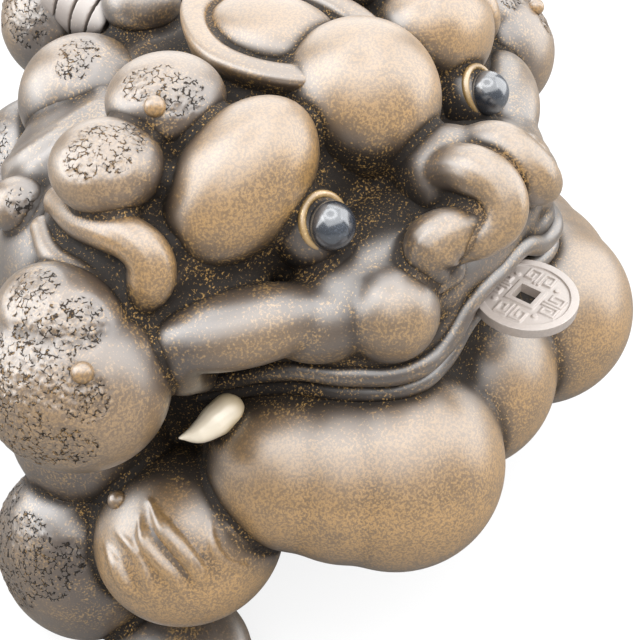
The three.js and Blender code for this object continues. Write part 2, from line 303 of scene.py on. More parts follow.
def mirrorCopy(piece, name):
    pick(piece)
    bpy.ops.object.duplicate()
    twin = bpy.context.object
    twin.name = name
    twin.data.name = name
    twin.scale.x = -1
    bpy.ops.object.transform_apply(location=True, rotation=True, scale=True)
    bpy.ops.object.mode_set(mode="EDIT")
    bpy.ops.mesh.select_all(action="SELECT")
    bpy.ops.mesh.normals_make_consistent(inside=False)
    bpy.ops.object.mode_set(mode="OBJECT")
    return twin


pieces = {}
finishes = {}


# Keeps a piece under its node's name, with the finish that it gets later
def keep(node, piece, finish):
    pieces[node] = piece
    finishes[node] = finish


def keepPair(node, piece, finish):
    keep(node + "_right", piece, finish)
    twinName = piece.name.replace("Right", "Left")
    keep(node + "_left", mirrorCopy(piece, twinName), finish)


# Throat sac and upper jaw
throat = {
    "lumps": [
        ((0, -48.0, 56.2), (56, 20, 14)),
        ((0, -55.0, 41.9), (34, 30, 32)),
        ((-23.5, -54.5, 41.6), (37.6, 37.6, 36)),
        ((-28.5, -48.5, 42.3), (36, 36, 33)),
        ((-33.2, -42.1, 43.0), (33, 33, 30)),
    ],
    "bothSides": True,
    "grain": 0.6,
    "soften": 40,
}
keep("throat_sac", pressClay("throatSac", throat), "tan_clay")

# Lips, rolled along the line where they meet, from the right corner to the coin
lips = {
    "line": [
        (-41.1, -27.7, 56.4),
        (-32.8, -39.9, 60.5),
        (-28.4, -48.7, 61.1),
        (-22.4, -56.0, 62.0),
        (-15.5, -57.4, 62.7),
        (-7.6, -57.5, 66.6),
        (0, -57.5, 66.6),
    ],
    "upper": [1.3, 1.9, 2.0, 2.0, 2.0, 1.8, 1.8],
    "lower": [1.0, 1.6, 1.8, 1.8, 1.7, 1.4, 1.4],
    "part": [0.1, 0.1, 0.1, 0.1, 0.3, 0.9, 1.0],
    "grain": 0.4,
    "soften": 3,
}

# The jaw's lower edge comes down behind the upper lip
jaw = {
    "lumps": [
        ((0, -43.1, 71.5), (66, 30, 23)),
        ((-38.3, -35.4, 73.4), (30, 13.5, 12), (0, 0, -35)),
        ((-28.5, -42.5, 71.0), (18, 13, 13), (0, 0, -45)),
    ],
    "single": [
        ((-21.4, -50.9, 72.4), (15.4, 15.4, 15.8)),
        ((19.6, -49.2, 72.4), (15.0, 15.0, 15.4)),
    ],
    "corner": ([(-47.0, -29.0, 71.5), (-45.5, -28.5, 66.0), (-41.5, -29.0, 61.0)], [5.0, 4.4, 2.6]),
    "edgeRise": 4.6,
    "edgeBack": 0.965,
    "edgeRadius": [1.6, 2.2, 2.4, 2.4, 2.4, 2.0, 2.0],
    "bothSides": True,
    "grain": 0.5,
    "soften": 26,
}
jawEdge = [(x * jaw["edgeBack"], y * jaw["edgeBack"], z + jaw["edgeRise"]) for x, y, z in lips["line"]]
jaw["rolls"] = [(jawEdge, jaw["edgeRadius"]), jaw["corner"]]
keep("upper_jaw", pressClay("upperJaw", jaw), "body_clay")
print("throat and jaw pressed")


def rollLip(name, radii, direction):
    half = [
        (x, y, z + direction * (radius + part))
        for (x, y, z), radius, part in zip(lips["line"], radii, lips["part"])
    ]
    points = half + [otherSide(point) for point in reversed(half[:-1])]
    shape = {"rolls": [(points, radii + radii[-2::-1])], "grain": lips["grain"], "soften": lips["soften"]}
    return pressClay(name, shape)


keep("upper_lip", rollLip("upperLip", lips["upper"], 1), "dark_clay")
keep("lower_lip", rollLip("lowerLip", lips["lower"], -1), "dark_clay")

# Nose: a bridge whose two wings curl forward and down round the nostril bulbs
nose = {
    "lumps": [((0, -47.5, 83.5), (17, 22, 17))],
    "rolls": [
        (
            [
                (-3.2, -42.0, 83.3),
                (-3.4, -48.0, 87.0),
                (-3.9, -53.2, 89.6),
                (-4.0, -58.0, 88.0),
                (-5.6, -59.7, 85.2),
                (-8.8, -58.7, 82.4),
                (-11.5, -56.6, 80.2),
            ],
            [3.4, 4.2, 4.3, 4.1, 3.8, 2.9, 1.5],
        )
    ],
    "bothSides": True,
    "grain": 0.4,
    "soften": 6,
}
keep("nose", pressClay("noseCurl", nose), "body_clay")

nostrilBulb = {
    "path": [(-8.6, -56.5, 84.3), (-10.9, -54.6, 83.5), (-13.2, -52.9, 81.6), (-14.3, -52.8, 78.6)],
    "tail": [(450, 268), (442, 283), (437, 293)],
    "radii": [2.4, 4.1, 4.9, 3.8, 2.5, 1.5, 0.5],
    "grain": 0.35,
    "soften": 6,
}
tailPoints = seenOn([pieces["upper_jaw"]], nostrilBulb["tail"])
nostrilBulb["rolls"] = [(nostrilBulb["path"] + tailPoints, nostrilBulb["radii"])]
keepPair("nostril_bulb", pressClay("nostrilBulbRight", nostrilBulb), "tan_clay")
print("lips and nose rolled")

# Forehead, brows and eyes
foreheadBall = {"lumps": [((0, -29.1, 91.0), (26.6, 26.6, 26.6))], "grain": 0.5, "soften": 4}
keep("forehead_ball", pressClay("foreheadBall", foreheadBall), "tan_clay")

brow = {
    "lumps": [((-26.6, -25.9, 88.9), (30, 20, 22.5), (33, -34, -12))],
    "grain": 0.5,
    "soften": 4,
}
keepPair("brow", pressClay("browRight", brow), "tan_clay")

# Sockets, each with the thin rim of its lower lid
socket = {
    "lumps": [((-21.8, -35.2, 82.0), (13.2, 13.2, 13.2))],
    "rim": [(180, 270), (192, 280), (221, 277), (248, 268), (268, 268), (296, 272), (328, 264), (350, 243)],
    "rimRadius": [0.4, 0.8, 0.9, 0.9, 0.8, 0.7, 0.7, 0.4],
    "grain": 0.35,
    "soften": 4,
}
rimPoints = seenOn([pieces["upper_jaw"], pieces["brow_right"]], socket["rim"])
socket["rolls"] = [(rimPoints, socket["rimRadius"])]
keepPair("eye_socket", pressClay("eyeSocketRight", socket), "dark_clay")

eyeBead = {"lumps": [((-22.4, -40.1, 85.0), (7.7, 7.7, 7.7))], "grain": 0.3, "soften": 2}
keepPair("eye_bead", pressClay("eyeBeadRight", eyeBead), "eye_glaze")

eyeRing = {
    "place": (-22.3, -38.7, 85.1),
    "axis": (-0.1, -0.84, 0.53),
    "across": 8.2,
    "wire": 1.3,
    "stepsAlong": 64,
    "stepsRound": 16,
}


def makeRing(name, ring):
    bpy.ops.mesh.primitive_torus_add(
        major_radius=ring["across"] / 2 * mm,
        minor_radius=ring["wire"] / 2 * mm,
        major_segments=ring["stepsAlong"],
        minor_segments=ring["stepsRound"],
        location=[value * mm for value in ring["place"]],
        rotation=Vector(ring["axis"]).to_track_quat("Z", "Y").to_euler(),
    )
    bpy.ops.object.shade_smooth()
    return joinParts([bpy.context.object], name)


keepPair("eye_ring", makeRing("eyeRingRight", eyeRing), "gold_line")

# Fangs, bent rolls that taper to a point
fang = {
    "rolls": [
        (
            [(-40.4, -33.0, 55.0), (-42.8, -32.4, 54.2), (-45.8, -31.4, 53.4), (-48.7, -29.8, 53.6)],
            [2.8, 2.8, 1.9, 0.25],
        )
    ],
    "grain": 0.25,
    "soften": 4,
}
keepPair("fang", pressClay("fangRight", fang), "bone_clay")
print("brows, eyes and fangs set")

# Cheeks with their temples, rough above and below
cheek = {
    "lumps": [
        ((-58.2, -18.6, 68.5), (28, 31, 28)),
        ((-56.2, -16.2, 77.0), (18, 22, 17)),
    ],
    "grain": 0.32,
    "soften": 14,
    "rough": [
        ((30, 290), 5.5), ((80, 322), 5), ((45, 335), 7), ((15, 385), 6), ((55, 380), 5),
        ((85, 400), 4.5), ((20, 440), 8), ((70, 450), 5), ((-70, -12, 72), 12), ((-66, -6, 62), 12),
    ],
}
keepPair("cheek", pressClay("cheekRight", cheek), "body_clay")

# Curled ears: a thick roll that hooks down in front, over a thinner fold
ear = {
    "rolls": [
        (
            [
                (-42.7, -3.8, 84.9),
                (-45.2, -11.6, 86.7),
                (-45.5, -17.3, 87.9),
                (-45.1, -21.4, 87.8),
                (-45.1, -24.3, 86.0),
                (-45.8, -24.9, 82.8),
                (-47.0, -23.6, 79.0),
            ],
            [2.8, 3.2, 3.3, 3.4, 3.6, 3.7, 3.0],
        ),
        (
            [(-46.6, -3.4, 82.0), (-49.9, -9.1, 81.5), (-50.5, -15.1, 82.0), (-49.0, -20.2, 81.0)],
            [2.2, 2.3, 2.1, 1.6],
        ),
    ],
    "grain": 0.35,
    "soften": 4,
}
keepPair("ear", pressClay("earRight", ear), "tan_clay")

# Warts round the crown
sideWart = {
    "lumps": [((-40.3, -12.6, 94.3), (17, 17, 13))],
    "grain": 0.28,
    "soften": 4,
    "rough": [((92, 140), 4.5), ((125, 135), 4.2), ((110, 150), 4.5), ((82, 158), 4)],
}
keepPair("side_wart", pressClay("sideWartRight", sideWart), "body_clay")

crownWart = {
    "lumps": [((-25.5, -11.1, 97.3), (19, 18, 13))],
    "grain": 0.28,
    "soften": 4,
    "rough": [((140, 82), 4), ((165, 78), 4), ((190, 92), 3.5), ((175, 95), 4)],
}
keepPair("crown_wart", pressClay("crownWartRight", crownWart), "body_clay")

# Ingot boat: a leaf-shaped dish with a flat rim, round a dome
boat = {
    "place": (0, -13.0, 94.6),
    "half": (14.6, 19.8),
    "narrow": 0.35,
    "profile": [
        (0.7, -5.0), (0.9, -2.0), (0.96, 1.6), (1.0, 3.4), (0.98, 4.3), (0.93, 4.8),
        (0.74, 4.9), (0.69, 4.2), (0.65, 2.4), (0.4, 1.6),
    ],
    "corners": 72,
    "levels": 2,
}


def makeBoat(name, shape):
    first, *rings = shape["profile"]
    bpy.ops.mesh.primitive_circle_add(
        vertices=shape["corners"], radius=first[0], fill_type="NGON", location=(0, 0, 0)
    )
    dish = bpy.context.object
    pick(dish)
    bpy.ops.object.mode_set(mode="EDIT")
    bpy.ops.mesh.select_all(action="SELECT")
    before = first
    for ring in rings:
        bpy.ops.mesh.extrude_region_move(TRANSFORM_OT_translate={"value": (0, 0, ring[1] - before[1])})
        grow = ring[0] / before[0]
        bpy.ops.transform.resize(value=(grow, grow, 1), center_override=(0, 0, 0))
        before = ring
    bpy.ops.mesh.select_all(action="SELECT")
    bpy.ops.mesh.normals_make_consistent(inside=False)
    bpy.ops.object.mode_set(mode="OBJECT")
    for corner in dish.data.vertices:
        x, y, z = corner.co
        slim = 1 - shape["narrow"] * max(y, 0) ** 2
        corner.co = (
            (shape["place"][0] + x * shape["half"][0] * slim) * mm,
            (shape["place"][1] + y * shape["half"][1]) * mm,
            (shape["place"][2] + first[1] + z) * mm,
        )
    dish = joinParts([dish], name)
    applyModifier(dish, "SUBSURF", levels=shape["levels"], render_levels=shape["levels"])
    bpy.ops.object.shade_smooth()
    return dish


keep("ingot_boat", makeBoat("ingotBoat", boat), "tan_clay")
dome = {"lumps": [((0, -11.6, 97.2), (17.6, 24, 9.6))], "grain": 0.45, "soften": 4}
keep("ingot_dome", pressClay("ingotDome", dome), "tan_clay")
print("cheeks, ears, warts and boat set")

# Forelegs, flame tufts and feet
foreleg = {
    "lumps": [
        ((-37.0, -4.1, 63.0), (34, 40, 44)),
        ((-47.5, -7.0, 40.0), (28, 30, 34)),
        ((-58.0, -9.9, 17.0), (28, 32, 38)),
    ],
    "grain": 0.6,
    "soften": 16,
    "rough": [
        ((25, 545), 7), ((45, 580), 6), ((70, 560), 4), ((12, 600), 7),
        ((-70, -4, 22), 12), ((-62, 4, 30), 10),
    ],
    "onGround": True,
}
keepPair("foreleg", pressClay("forelegRight", foreleg), "body_clay")

tuft = {
    "lumps": [((-49.1, -30.1, 29.7), (34, 32, 29))],
    "grain": 0.38,
    "soften": 5,
    "flames": [
        ([(150, 501), (164, 528), (182, 550), (198, 571), (205, 592)], [0.4, 1.56, 1.72, 1.56, 0.4]),
        ([(140, 516), (145, 539), (159, 560), (177, 580), (186, 602)], [0.4, 1.33, 1.48, 1.33, 0.4]),
        ([(106, 521), (129, 543), (143, 565), (149, 586), (158, 605)], [0.4, 0.86, 0.86, 0.78, 0.4]),
        ([(104, 536), (117, 562), (127, 583), (143, 602)], [0.4, 1.56, 1.56, 0.4]),
        ([(210, 521), (212, 543), (222, 560), (244, 568), (257, 576)], [0.4, 1.01, 1.09, 0.94, 0.4]),
        ([(218, 510), (233, 531), (251, 543), (270, 547)], [0.4, 1.09, 1.09, 0.4]),
    ],
}
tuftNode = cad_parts["flame_tuft_right"]
tuft["rolls"] = [(seenOn([tuftNode], line), radii) for line, radii in tuft["flames"]]
keepPair("flame_tuft", pressClay("flameTuftRight", tuft), "tan_clay")

forefoot = {
    "lumps": [
        ((-56.8, -32.0, 5.0), (24, 28, 14)),
        ((-60.7, -42.3, 3.5), (9, 16, 9), (0, 0, -24)),
        ((-56.8, -43.2, 3.5), (9, 16, 9)),
        ((-52.9, -42.3, 3.5), (9, 16, 9), (0, 0, 24)),
    ],
    "grain": 0.45,
    "soften": 6,
    "onGround": True,
}
keepPair("forefoot", pressClay("forefootRight", forefoot), "dark_clay")

# Back: haunches, ball, warts, cash on edge, rump and the single hind leg
haunch = {
    "lumps": [((-17.0, 17.5, 82.0), (24, 22, 22)), ((-21, 26, 64), (30, 28, 30))],
    "grain": 0.5,
    "soften": 12,
    "rough": [((80, 50), 4.5), ((72, 66), 3.5), ((-24, 30, 84), 7), ((-32, 30, 74), 8), ((-30, 36, 64), 9)],
}
keepPair("haunch", pressClay("haunchRight", haunch), "body_clay")

backBall = {"lumps": [((0, 18.5, 92.6), (14, 14, 12))], "grain": 0.4, "soften": 4}
keep("back_ball", pressClay("backBall", backBall), "dark_clay")

backWart = {
    "lumps": [((-43.3, 6.0, 80.2), (10, 10, 9))],
    "grain": 0.35,
    "soften": 4,
    "rough": [((20, 200), 3), ((25, 205), 3)],
}
keepPair("back_wart", pressClay("backWartRight", backWart), "body_clay")

rump = {
    "lumps": [((0, 40.5, 81.0), (23.5, 24, 24))],
    "grain": 0.5,
    "soften": 4,
    "rough": [((25, 25), 6), ((-6, 48, 88), 9), ((6, 50, 84), 9)],
}
keep("rump", pressClay("rump", rump), "body_clay")

hindLeg = {
    "lumps": [((0, 46.2, 19.2), (36, 26, 44))],
    "grain": 0.55,
    "soften": 4,
    "rough": [((-8, 58, 28), 11), ((9, 58, 18), 11)],
    "onGround": True,
}
keep("hind_leg", pressClay("hindLeg", hindLeg), "body_clay")

hindFoot = {
    "lumps": [
        ((0, 55.3, 5.0), (24, 24, 14)),
        ((-3.9, 64.0, 3.5), (9, 16, 9), (0, 0, 24)),
        ((0, 64.9, 3.5), (9, 16, 9)),
        ((3.9, 64.0, 3.5), (9, 16, 9), (0, 0, -24)),
    ],
    "grain": 0.45,
    "soften": 6,
    "onGround": True,
}
keep("hind_foot", pressClay("hindFoot", hindFoot), "dark_clay")

# Pellets
pellet = {
    "size": 3.3,
    "places": {
        "wart_pellet": (-32.1, -15.4, 101.4),
        "cheek_pellet": (-63.0, -27.5, 79.1),
        "shoulder_pellet": (-45.0, 7.5, 77.5),
        "tuft_pellet": (-57.0, -22.1, 40.2),
    },
    "grain": 0.25,
    "soften": 3,
}
for node, place in pellet["places"].items():
    shape = {"lumps": [(place, [pellet["size"]] * 3)], "grain": pellet["grain"], "soften": pellet["soften"]}
    pelletName = node.replace("_pellet", "PelletRight")
    keepPair(node, pressClay(pelletName, shape), "tan_clay")
print("legs, back and pellets set")

# Struck coins: a raised rim and hole border, with a fret and a boss between them
fret = {
    "strokes": [(0.35, 3.3), (0.35, 6.1), (2.3, 6.1), (2.3, 3.9), (1.15, 3.9), (1.15, 5.1)],
    "boss": (3.7, 0.9),
    "bossCorners": 16,
    "width": 0.42,
    "radius": 8.6,
}
strike = {"corners": 96, "rimLap": 0.4, "soften": 2}


def addBlock(place, size, turn=0.0):
    bpy.ops.mesh.primitive_cube_add(size=1, location=place, rotation=(0, 0, turn))
    block = bpy.context.object
    block.scale = size
    return block


def addDrum(place, across, tall, corners=strike["corners"]):
    bpy.ops.mesh.primitive_cylinder_add(vertices=corners, radius=across / 2, depth=tall, location=place)
    return bpy.context.object


def fretBlocks(scale, height):
    blocks = []
    for side in range(4):
        turn = side * math.pi / 2
        for hand in (1, -1):
            path = [Vector((hand * u * scale, v * scale, 0)) for u, v in fret["strokes"]]
            for start, end in zip(path, path[1:]):
                middle = (start + end) / 2
                middle.rotate(Euler((0, 0, turn)))
                size = [abs(end[axis] - start[axis]) + fret["width"] * scale for axis in range(2)]
                blocks.append(addBlock(middle, (*size, height), turn))
        reach, across = fret["boss"]
        corner = Vector((reach * scale, reach * scale, 0))
        corner.rotate(Euler((0, 0, turn)))
        blocks.append(addDrum(corner, across * scale, height, fret["bossCorners"]))
    return blocks


def cutAway(piece, tool):
    applyModifier(piece, "BOOLEAN", operation="DIFFERENCE", object=tool, solver="EXACT")
    bpy.data.objects.remove(tool)


def strikeCoin(name, coin):
    middle = (0, 0, 0)
    across = coin["across"]
    scale = across / 2 / fret["radius"]
    field = addDrum(middle, across - strike["rimLap"], coin["thick"] - 2 * coin["relief"])
    rim = addDrum(middle, across, coin["thick"])
    cutAway(rim, addDrum(middle, across - 2 * coin["rim"], 2 * coin["thick"]))
    border = addBlock(middle, [coin["hole"] + 2 * coin["border"]] * 2 + [coin["thick"]])
    struck = joinParts([field, rim, border, *fretBlocks(scale, coin["thick"])], name)
    applyModifier(struck, "REMESH", mode="VOXEL", voxel_size=coin["grain"], use_smooth_shade=True)
    cutAway(struck, addBlock(middle, (coin["hole"], coin["hole"], 4 * coin["thick"])))
    applyModifier(struck, "SMOOTH", factor=smoothing, iterations=strike["soften"])
    return struck


def setCoin(coin, place, turn=0.0):
    coin.scale = (mm, mm, mm)
    coin.rotation_euler = (turn, 0, 0)
    coin.location = [value * mm for value in place]
    pick(coin)
    bpy.ops.object.transform_apply(location=True, rotation=True, scale=True)
    return coin


# String of cash on edge along the spine
cash = {
    "across": 15,
    "thick": 3.2,
    "hole": 3,
    "rim": 1.3,
    "border": 0.8,
    "relief": 0.35,
    "grain": 0.2,
    "lean": 104,
    "places": [(0, 24.5, 86.4), (0, 28.2, 87.3), (0, 31.9, 88.2), (0, 35.6, 89.2)],
}
for index, place in enumerate(cash["places"]):
    disc = setCoin(strikeCoin(f"spineCash{index + 1}", cash), place, math.radians(cash["lean"]))
    keep(f"spine_cash_{index + 1}", disc, "coin_clay")

# Loose coin
coin = {
    "across": 17.2,
    "thick": 1.8,
    "hole": 3.6,
    "rim": 1.4,
    "border": 0.8,
    "relief": 0.3,
    "grain": 0.11,
    "place": (0, -63.1, 66.6),
}
keep("mouth_coin", setCoin(strikeCoin("mouthCoin", coin), coin["place"]), "coin_clay")
print("cash and coin struck")

# Body: the skin that shows between the pieces, with the seams filled as wet clay would be
body = {
    "lumps": [
        ((0, 11.97, 36.0), (80, 76, 96)),
        ((0, -18.05, 47.0), (84, 56, 68)),
        ((0, -18.05, 63.0), (104, 38, 34)),
        ((0, -16.15, 78.0), (104, 42, 34)),
        ((0, 15.0, 78.0), (52, 38, 24)),
        ((-25.0, 7.0, 74.5), (37, 30, 28)),
        ((25.0, 7.0, 74.5), (37, 30, 28)),
    ],
    "loose": ["lip", "coin", "cash", "bead", "ring", "fang", "pellet"],
    "grain": 0.8,
    "soften": 24,
    "sink": 0.3,
    "seam": 36.0,
    "folds": [
        [(0, 173), (22, 156), (58, 131), (96, 106), (124, 76)],
        [(0, 194), (28, 172), (58, 150), (94, 124), (116, 108)],
    ],
    "foldRadius": 1.7,
    "foldSteps": 17,
    "foldReach": 5.0,
}


# The parts of a fold that lie on the body itself, without the gaps where it drops behind a wart
def foldRuns(pixels):
    steps = np.linspace(0, len(pixels) - 1, body["foldSteps"])
    across, down = np.array(pixels).T
    marks = np.arange(len(pixels))
    path = list(zip(np.interp(steps, marks, across), np.interp(steps, marks, down)))
    runs = [[]]
    for point in seenOn([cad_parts["back_shell"]], path):
        if runs[-1] and math.dist(point, runs[-1][-1]) > body["foldReach"]:
            runs.append([])
        runs[-1].append(point)
    return [run for run in runs if len(run) > 2]


def makeBody():
    parts = [addLump(*lump) for lump in body["lumps"]]
    for node, piece in pieces.items():
        if any(word in node for word in body["loose"]):
            continue
        pick(piece)
        bpy.ops.object.duplicate()
        parts.append(bpy.context.object)
    for run in [run for fold in body["folds"] for run in foldRuns(fold)]:
        for line in (run, [otherSide(point) for point in run]):
            parts += addRoll(line, [body["foldRadius"]] * len(line))
    skin = joinParts(parts, "backShell")
    fuseClay(skin, body["grain"], body["soften"])
    applyModifier(skin, "DISPLACE", strength=-body["sink"] * mm, mid_level=0)
    cutFlat(skin, 0)
    return skin


def splitBody(skin):
    pick(skin)
    bpy.ops.object.duplicate()
    belly = bpy.context.object
    belly.name = "bellyShell"
    belly.data.name = "bellyShell"
    cutFlat(skin, body["seam"])
    cutFlat(belly, body["seam"], above=False)
    return skin, belly


backShell, bellyShell = splitBody(makeBody())
keep("back_shell", backShell, "body_clay")
keep("belly_shell", bellyShell, "body_clay")
print("body filled in")

# Recesses: a grid is filled with the whole toad and softened, so that a point in a crease
# has much clay round it and a point on a bulge has little. The painted shade and the rub follow it.
recess = {"cell": 0.8, "margin": 16, "near": 2, "far": 11, "passes": 2, "crossings": 12, "step": 0.02}


def fillGrid(low, size):
    grid = np.zeros(size, np.float32)
    depsgraph = bpy.context.evaluated_depsgraph_get()
    down = Vector((0, 0, -1))
    top = (low[2] + size[2] * recess["cell"]) * mm
    for node, piece in pieces.items():
        if node == "mouth_coin":
            continue
        tree = BVHTree.FromObject(piece, depsgraph)
        points = pointsOf(piece)
        first = np.floor((points.min(0) - low) / recess["cell"]).astype(int)
        last = np.ceil((points.max(0) - low) / recess["cell"]).astype(int)
        for column in range(first[0], last[0] + 1):
            for row in range(first[1], last[1] + 1):
                x = (low[0] + (column + 0.5) * recess["cell"]) * mm
                y = (low[1] + (row + 0.5) * recess["cell"]) * mm
                start = Vector((x, y, top))
                crossings = []
                while len(crossings) < recess["crossings"]:
                    place = tree.ray_cast(start, down)[0]
                    if place is None:
                        break
                    crossings.append(place.z / mm)
                    start = Vector((x, y, place.z - recess["step"] * mm))
                for upper, lower in zip(crossings[0::2], crossings[1::2]):
                    bottom = int(round((lower - low[2]) / recess["cell"]))
                    ceiling = int(round((upper - low[2]) / recess["cell"]))
                    grid[column, row, bottom:ceiling] = 1
    return grid


def soften(grid, reach):
    width = 2 * reach + 1
    for axis in range(3):
        for sweep in range(recess["passes"]):
            padded = np.concatenate(
                [np.zeros_like(np.take(grid, range(1), axis)), np.cumsum(grid, axis)], axis
            )
            count = grid.shape[axis]
            upper = np.minimum(np.arange(count) + reach + 1, count)
            lower = np.maximum(np.arange(count) - reach, 0)
            grid = (np.take(padded, upper, axis) - np.take(padded, lower, axis)) / width
    return grid


def readGrid(grid, places):
    places = places - 0.5
    base = np.floor(places).astype(int)
    part = places - base
    total = np.zeros(len(places))
    for corner in np.ndindex(2, 2, 2):
        share = np.prod(np.where(corner, part, 1 - part), axis=1)
        index = np.clip(base + corner, 0, np.array(grid.shape) - 1)
        total += share * grid[index[:, 0], index[:, 1], index[:, 2]]
    return total


# How hollow the mesh itself is at each point, for pits and drawn lines
def dentsOf(piece, points, normals):
    edges = np.empty(len(piece.data.edges) * 2, np.int32)
    piece.data.edges.foreach_get("vertices", edges)
    edges = edges.reshape(-1, 2)
    both = np.concatenate([edges, edges[:, ::-1]])
    count = np.maximum(np.bincount(both[:, 0], minlength=len(points)), 1)

    def average(values):
        return np.bincount(both[:, 0], weights=values[both[:, 1]], minlength=len(points)) / count

    around = np.stack([average(points[:, axis]) for axis in range(3)], 1)
    lean = np.einsum("ij,ij->i", around - points, normals)
    spread = np.linalg.norm(points[edges[:, 0]] - points[edges[:, 1]], axis=1).mean()
    dents = lean / spread
    return (dents + average(dents)) / 2


def markRecesses():
    low = np.array([value / mm for value in cadBox[0]]) - recess["margin"]
    high = np.array([value / mm for value in cadBox[1]]) + recess["margin"]
    size = tuple(np.ceil((high - low) / recess["cell"]).astype(int))
    filled = fillGrid(low, size)
    near = soften(filled, recess["near"])
    far = soften(filled, recess["far"])
    for piece in pieces.values():
        points = pointsOf(piece)
        normals = readVectors(piece.data.vertex_normals, "vector")
        places = (points - low) / recess["cell"]
        setLayer(piece, "crease", readGrid(near, places))
        setLayer(piece, "bulge", readGrid(far, places))
        setLayer(piece, "dent", dentsOf(piece, points, normals))


markRecesses()
print("recesses marked")


# Finishes
def addNode(tree, kind, place, **settings):
    node = tree.nodes.new(kind)
    node.location = place
    for key, value in settings.items():
        setattr(node, key, value)
    return node


# Gives a socket a value, or the link that it is to follow
def feed(tree, socket, value):
    if isinstance(value, bpy.types.NodeSocket):
        tree.links.new(value, socket)
    else:
        socket.default_value = value


# A mix node's sockets for colours come after those for numbers and vectors
def mixColours(tree, place, share, first, second):
    node = addNode(tree, "ShaderNodeMix", place, data_type="RGBA")
    for index, value in ((0, share), (6, first), (7, second)):
        feed(tree, node.inputs[index], value)
    return node.outputs[2]


def mixShaders(tree, place, share, first, second):
    node = addNode(tree, "ShaderNodeMixShader", place)
    for socket, value in zip(node.inputs, (share, first, second)):
        feed(tree, socket, value)
    return node.outputs[0]


def mapRange(tree, place, value, fromLow, fromHigh, toLow=0.0, toHigh=1.0):
    node = addNode(tree, "ShaderNodeMapRange", place, interpolation_type="SMOOTHSTEP")
    feed(tree, node.inputs["Value"], value)
    node.inputs["From Min"].default_value = fromLow
    node.inputs["From Max"].default_value = fromHigh
    node.inputs["To Min"].default_value = toLow
    node.inputs["To Max"].default_value = toHigh
    return node.outputs["Result"]


def sums(tree, place, operation, *values, clamp=True):
    node = addNode(tree, "ShaderNodeMath", place, operation=operation, use_clamp=clamp)
    for socket, value in zip(node.inputs, values):
        feed(tree, socket, value)
    return node.outputs[0]


def readAttribute(tree, place, name):
    node = addNode(tree, "ShaderNodeAttribute", place, attribute_name=name)
    return node.outputs["Fac"]


def addNoise(tree, place, where, scale, detail, roughness):
    noise = addNode(tree, "ShaderNodeTexNoise", place)
    noise.inputs["Scale"].default_value = scale
    noise.inputs["Detail"].default_value = detail
    noise.inputs["Roughness"].default_value = roughness
    tree.links.new(where, noise.inputs["Vector"])
    return noise


# Fired clay: tan grains lie close where hands rub it and thin out over dark brown clay.
# Seams, pits and hollows get near black painted shade, and undersides and tops are painted darker.
# A noise has its scale, detail and roughness. A range has where it starts and ends, and most have what
# they give there.
clayLook = {
    "mottle": (150, 5, 0.65),
    "grain": (2500, 2, 0.6),
    "dust": (5200, 2, 0.6),
    "ripple": (950, 2, 0.5),
    "rubbed": (0.46, 0.27),
    "patchy": (0.3, 0.65, 0.7, 1.0),
    "under": (-0.75, -0.1, 0.3, 1.0),
    "over": (0.25, 0.9, 0.0, 0.5),
    "seam": (0.43, 0.66),
    "pit": (0.04, 0.32),
    "hollow": (0.485, 0.63),
    "speckle": (0.35, 0.65, 0.4, 1.0),
    "bare": (0.0, 1.0, 1.0, 0.75),
    "cover": (0.0, 1.0, -0.19, 0.035),
    "edge": (0.45, 0.59),
    "fine": (0.35, 0.65, 0.5, 1.0),
    "ground": 0.42,
    "ragged": 0.6,
    "raggedLess": 0.3,
    "border": (0.35, 0.62),
    "tiles": 950,
    "bend": 0.0012,
    "crack": (0.16, 0.03),
    "broken": (0.45, 0.56),
    "matt": (0.25, 0.75, 0.40, 0.52),
    "dull": (0.0, 1.0, 0.0, 0.3),
    "coat": (0.0, 1.0, 1.0, 0.0),
    "grainHeight": 0.08,
    "crackHeight": 0.4,
}


# Where hands rub the clay pale: on what stands proud and in patches; painted shade takes it back on
# undersides
def rubAndShadeClay(group, rub, up, bulge, mottle):
    proud = sums(group, (-1100, 450), "SUBTRACT", bulge, rub, clamp=False)
    high = mapRange(group, (-900, 450), proud, *clayLook["rubbed"])
    patchy = mapRange(group, (-900, 0), mottle, *clayLook["patchy"])
    wornAndShaded = sums(group, (-700, 450), "MULTIPLY", high, patchy)
    # Painted shade: the pale rub fades on faces that turn downwards
    under = mapRange(group, (-700, 300), up, *clayLook["under"])
    return sums(group, (-500, 450), "MULTIPLY", wornAndShaded, under)


# Broken cracks between small tiles, on the roughened patches only
def crackClay(group, where, mottle):
    rough = readAttribute(group, (-1400, 1100), "rough")
    rough = sums(group, (-1150, 1100), "MULTIPLY_ADD", mottle, clayLook["ragged"], rough, clamp=False)
    rough = sums(group, (-1000, 1100), "SUBTRACT", rough, clayLook["raggedLess"])
    rough = mapRange(group, (-850, 1100), rough, *clayLook["border"])
    ripple = addNoise(group, (-1400, 1300), where, *clayLook["ripple"])
    bent = addNode(group, "ShaderNodeVectorMath", (-1200, 1300), operation="SCALE")
    feed(group, bent.inputs[0], ripple.outputs["Color"])
    feed(group, bent.inputs["Scale"], clayLook["bend"])
    moved = addNode(group, "ShaderNodeVectorMath", (-1000, 1300), operation="ADD")
    feed(group, moved.inputs[0], where)
    feed(group, moved.inputs[1], bent.outputs[0])
    tiles = addNode(group, "ShaderNodeTexVoronoi", (-850, 1300), feature="DISTANCE_TO_EDGE")
    feed(group, tiles.inputs["Scale"], clayLook["tiles"])
    feed(group, tiles.inputs["Vector"], moved.outputs[0])
    crack = mapRange(group, (-650, 1300), tiles.outputs["Distance"], *clayLook["crack"])
    broken = mapRange(group, (-650, 1500), ripple.outputs["Fac"], *clayLook["broken"])
    crack = sums(group, (-500, 1300), "MULTIPLY", crack, broken)
    return sums(group, (-350, 1300), "MULTIPLY", crack, rough)
